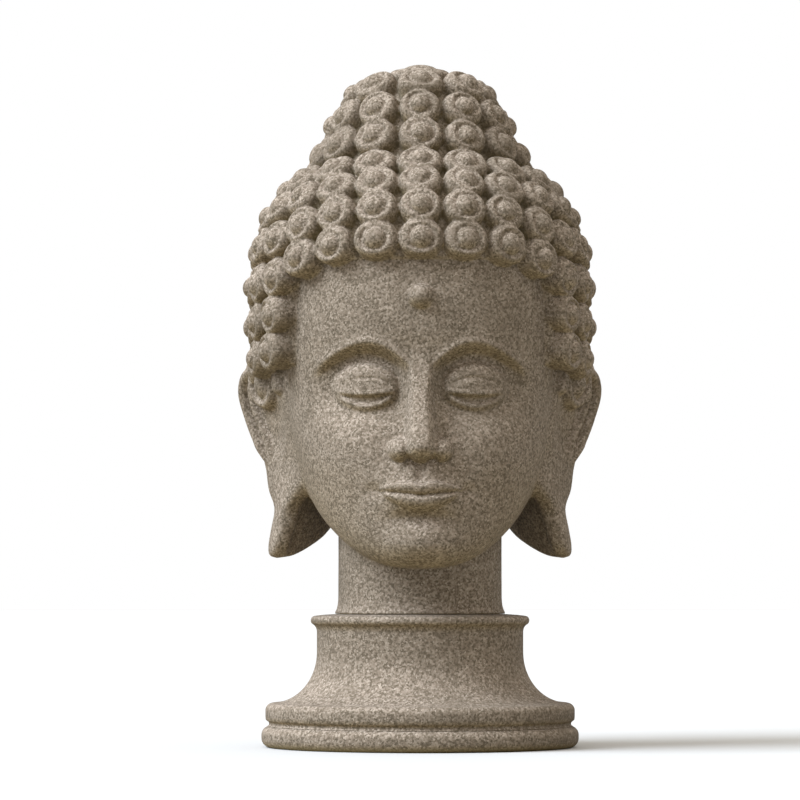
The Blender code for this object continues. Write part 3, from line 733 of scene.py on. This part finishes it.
def stone(name):
    """Grainy cast stone: mixed grains, pits, broad clouds, olive dirt and painted shade in hollows, painted
    shade on undersides, painted light on upward faces.
    """
    material = bpy.data.materials.new(name)
    material.use_nodes = True
    tree = material.node_tree
    shader = tree.nodes["Principled BSDF"]
    shader.inputs["Roughness"].default_value = 0.92
    shader.inputs["Specular IOR Level"].default_value = 0.2
    place = tree.nodes.new("ShaderNodeTexCoord").outputs["Object"]

    def noise(scale, detail, roughness):
        made = node(tree, "ShaderNodeTexNoise", Scale=scale, Detail=detail, Roughness=roughness)
        tree.links.new(place, made.inputs["Vector"])
        return made.outputs["Fac"]

    def ramp(source, low, high):
        made = tree.nodes.new("ShaderNodeMapRange")
        made.inputs["From Min"].default_value = low
        made.inputs["From Max"].default_value = high
        tree.links.new(source, made.inputs["Value"])
        return made.outputs["Result"]

    def mixed(first, second, share, kind="MIX"):
        made = tree.nodes.new("ShaderNodeMix")
        made.data_type = "RGBA"
        made.blend_type = kind
        for socket, value in ((made.inputs["A"], first), (made.inputs["B"], second)):
            if isinstance(value, tuple):
                socket.default_value = (*value, 1)
            else:
                tree.links.new(value, socket)
        tree.links.new(share, made.inputs["Factor"])
        return made.outputs["Result"]

    def bumped(source, strength, distance, normal=None):
        made = node(tree, "ShaderNodeBump", Strength=strength, Distance=distance)
        tree.links.new(source, made.inputs["Height"])
        if normal:
            tree.links.new(normal, made.inputs["Normal"])
        return made.outputs["Normal"]

    cells = node(tree, "ShaderNodeTexVoronoi", Scale=900)
    tree.links.new(place, cells.inputs["Vector"])
    fine = noise(1100, 2, 0.7)
    coarse = noise(520, 3, 0.65)
    lumps = noise(160, 3, 0.6)
    clouds = noise(16, 4, 0.6)
    grains = mixed(DARK_GRAIN, LIGHT_GRAIN, ramp(coarse, 0.38, 0.57))
    grains = mixed(grains, PALE_GRAIN, ramp(cells.outputs["Color"], 0.50, 1.05))
    specks = mixed(DARK_GRAIN, grains, ramp(cells.outputs["Color"], 0.10, 0.38))
    cloudy = mixed(specks, DARK_GRAIN, ramp(clouds, 0.50, 0.95))
    hollow = tree.nodes.new("ShaderNodeAmbientOcclusion")
    hollow.inputs["Distance"].default_value = 0.012
    hollow.samples = 8
    # olive dirt and painted shade: darker and more olive where ambient occlusion finds hollows and creases
    dirt_and_painted_shade = mixed(HOLLOW_DIRT_AND_SHADE, cloudy, ramp(hollow.outputs["AO"], 0.0, 0.48))
    slope = tree.nodes.new("ShaderNodeSeparateXYZ")
    tree.links.new(tree.nodes.new("ShaderNodeNewGeometry").outputs["Normal"], slope.inputs["Vector"])
    # painted shade: faces turned downwards are darkened and tinted olive
    painted_shading = mixed(dirt_and_painted_shade, UNDERSIDE_SHADE, ramp(slope.outputs["Z"], -0.05, -0.95), "MULTIPLY")
    # painted light: faces turned upwards are made paler
    painted_shading = mixed(painted_shading, UPWARD_PAINTED_LIGHT, ramp(slope.outputs["Z"], -0.05, 0.60), "MULTIPLY")
    tree.links.new(painted_shading, shader.inputs["Base Color"])

    normal = bumped(lumps, 0.35, 0.0012)
    normal = bumped(coarse, 0.9, 0.0008, normal)
    normal = bumped(fine, 1.0, 0.0006, normal)
    tree.links.new(normal, shader.inputs["Normal"])
    return material


def flat_material(name, colour):
    """A plain matt colour for the floor."""
    material = bpy.data.materials.new(name)
    material.use_nodes = True
    shader = material.node_tree.nodes["Principled BSDF"]
    shader.inputs["Base Color"].default_value = (*colour, 1)
    shader.inputs["Roughness"].default_value = 0.9
    return material


def sun(direction, strength, softness, colour):
    """Daylight that comes from the given direction."""
    data = bpy.data.lights.new("daylight", "SUN")
    data.energy = strength
    data.angle = math.radians(softness)
    data.color = colour
    light = bpy.data.objects.new("daylight", data)
    light.rotation_euler = Vector(direction).to_track_quat("Z", "Y").to_euler()
    bpy.context.scene.collection.objects.link(light)


def make_stage():
    """A pale floor, soft lights and the camera at the photograph's angle."""
    bm = bmesh.new()
    bmesh.ops.create_grid(bm, x_segments=1, y_segments=1, size=12)
    mesh = bpy.data.meshes.new("floor")
    bm.to_mesh(mesh)
    bm.free()
    mesh.materials.append(flat_material("floor", (0.50, 0.47, 0.42)))
    floor = bpy.data.objects.new("floor", mesh)
    bpy.context.scene.collection.objects.link(floor)
    world = bpy.data.worlds.new("studio")
    world.use_nodes = True
    background = world.node_tree.nodes["Background"]
    background.inputs["Color"].default_value = (1, 1, 1, 1)
    background.inputs["Strength"].default_value = 1.0
    bpy.context.scene.world = world
    sun((-0.72, -0.29, 0.63), 6.1, 40, (0.88, 1.02, 1.25))
    camera_data = bpy.data.cameras.new("camera")
    camera_data.lens = 179.9
    camera_data.sensor_width = 36
    camera = bpy.data.objects.new("camera", camera_data)
    camera.location = (-0.0123, -2.46, 0.100)
    aim = Vector((-0.0123, 0, 0.2130)) - camera.location
    camera.rotation_euler = aim.to_track_quat("-Z", "Y").to_euler()
    bpy.context.scene.collection.objects.link(camera)
    bpy.context.scene.camera = camera
    bpy.context.scene.view_settings.view_transform = "Standard"


make_stage()
head = make_head()
head.data.materials.append(stone("head_stone"))
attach(head, "root")
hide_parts("buddha_head")
socle = make_socle()
socle.data.materials.append(stone("socle_stone"))
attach(socle, "root")
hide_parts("socle")
